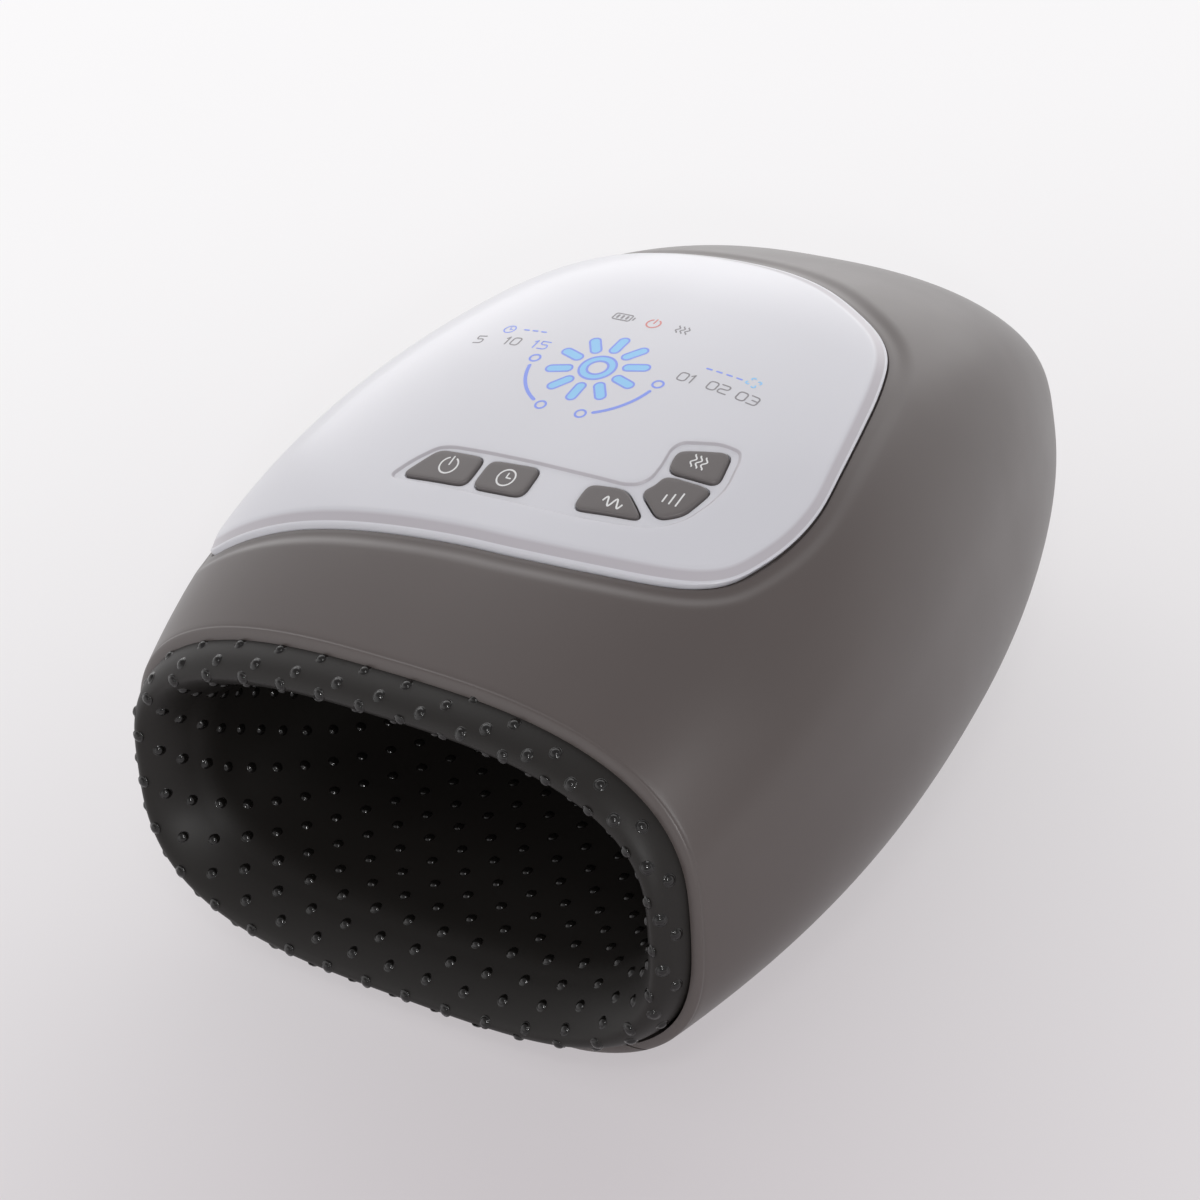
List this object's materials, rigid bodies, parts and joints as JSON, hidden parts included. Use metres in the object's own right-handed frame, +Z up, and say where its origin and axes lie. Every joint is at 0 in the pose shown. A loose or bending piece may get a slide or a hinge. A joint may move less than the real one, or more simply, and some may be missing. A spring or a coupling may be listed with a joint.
{
  "type": "hand compression massager",
  "caption": "Domed hand massager case with a soft bumpy sleeve in its open mouth, a glossy display panel with keys, and air bags, pump and battery inside.",
  "frame": {"origin": "on the table under the middle of the box round the whole massager, at the soles of its feet", "axes": "+Z up, -Y out of the mouth, +X to the right of someone who looks into the mouth"},
  "size_m": [0.1802, 0.2286, 0.1136],
  "materials": {
    "case_taupe": "satin soft-touch moulded plastic",
    "panel_pearl": "glossy pearl white",
    "key_grey": "satin grey",
    "sleeve_silicone": "soft black silicone with domed bumps",
    "foot_rubber": "matt rubber",
    "black_plastic": "plain moulded",
    "inner_white": "plain moulded",
    "circuit_board": "green laminate",
    "diffuser": "milky",
    "heater_film": "amber film",
    "bag_film": "coated cloth",
    "cell_wrap": "shrink-wrapped metal can",
    "bright_steel": "zinc plated",
    "brass_core": "turned",
    "clear_hose": "milky silicone hose",
    "red_lead": "insulated lead"
  },
  "bodies": {
    "case": {"upper_shell": "case_taupe", "lower_shell": "case_taupe", "display_panel": "panel_pearl", "key_board": "circuit_board", "light_guide": "diffuser", "display_board": "circuit_board", "liner_sleeve": "sleeve_silicone", "mouth_frame": "black_plastic", "upper_cradle": "inner_white", "lower_cradle": "inner_white", "palm_airbag_upper": "bag_film", "palm_airbag_lower": "bag_film", "finger_airbag_upper": "bag_film", "finger_airbag_lower": "bag_film", "heating_film": "heater_film", "main_board": "circuit_board", "air_manifold": "inner_white", "valve_body_palm": "bright_steel", "valve_body_finger": "bright_steel", "valve_body_release": "bright_steel", "battery_tray": "black_plastic", "battery_cell_front": "cell_wrap", "battery_cell_rear": "cell_wrap", "pump_motor": "bright_steel", "pump_head": "black_plastic", "pump_bracket": "inner_white", "charging_socket": "bright_steel", "air_hose": "clear_hose", "battery_lead": "red_lead", "foot_1": "foot_rubber", "foot_2": "foot_rubber", "foot_3": "foot_rubber", "foot_4": "foot_rubber", "case_screw_1": "bright_steel", "case_screw_2": "bright_steel", "case_screw_3": "bright_steel", "case_screw_4": "bright_steel", "case_screw_5": "bright_steel", "case_screw_6": "bright_steel", "switch_body_power": "black_plastic", "switch_body_timer": "black_plastic", "switch_body_mode": "black_plastic", "switch_body_level": "black_plastic", "switch_body_heat": "black_plastic"},
    "key_power": {"key_power": "key_grey", "switch_plunger_power": "inner_white"},
    "key_timer": {"key_timer": "key_grey", "switch_plunger_timer": "inner_white"},
    "key_mode": {"key_mode": "key_grey", "switch_plunger_mode": "inner_white"},
    "key_level": {"key_level": "key_grey", "switch_plunger_level": "inner_white"},
    "key_heat": {"key_heat": "key_grey", "switch_plunger_heat": "inner_white"},
    "plunger_palm": {"valve_plunger_palm": "brass_core"},
    "plunger_finger": {"valve_plunger_finger": "brass_core"},
    "plunger_release": {"valve_plunger_release": "brass_core"},
    "crank": {"pump_crank": "bright_steel"}
  },
  "joints": [
    {"name": "key_power_press", "type": "slide", "parent": "case", "child": "key_power", "axis": [0, -0.2588, 0.9659], "range_m": [-0.0005, 0], "stiffness_N_per_m": 500},
    {"name": "key_timer_press", "type": "slide", "parent": "case", "child": "key_timer", "axis": [0, -0.2588, 0.9659], "range_m": [-0.0005, 0], "stiffness_N_per_m": 500},
    {"name": "key_mode_press", "type": "slide", "parent": "case", "child": "key_mode", "axis": [0, -0.2588, 0.9659], "range_m": [-0.0005, 0], "stiffness_N_per_m": 500},
    {"name": "key_level_press", "type": "slide", "parent": "case", "child": "key_level", "axis": [0, -0.2588, 0.9659], "range_m": [-0.0005, 0], "stiffness_N_per_m": 500},
    {"name": "key_heat_press", "type": "slide", "parent": "case", "child": "key_heat", "axis": [0, -0.2588, 0.9659], "range_m": [-0.0005, 0], "stiffness_N_per_m": 500},
    {"name": "valve_palm_lift", "type": "slide", "parent": "case", "child": "plunger_palm", "axis": [0, 0, 1], "range_m": [-0.001, 0], "stiffness_N_per_m": 200},
    {"name": "valve_finger_lift", "type": "slide", "parent": "case", "child": "plunger_finger", "axis": [0, 0, 1], "range_m": [-0.001, 0], "stiffness_N_per_m": 200},
    {"name": "valve_release_lift", "type": "slide", "parent": "case", "child": "plunger_release", "axis": [0, 0, 1], "range_m": [-0.001, 0], "stiffness_N_per_m": 200},
    {"name": "pump_crank_turn", "type": "hinge", "parent": "case", "child": "crank", "pos_m": [0, 0.08955, 0.05602], "axis": [1, 0, 0], "continuous": true}
  ]
}
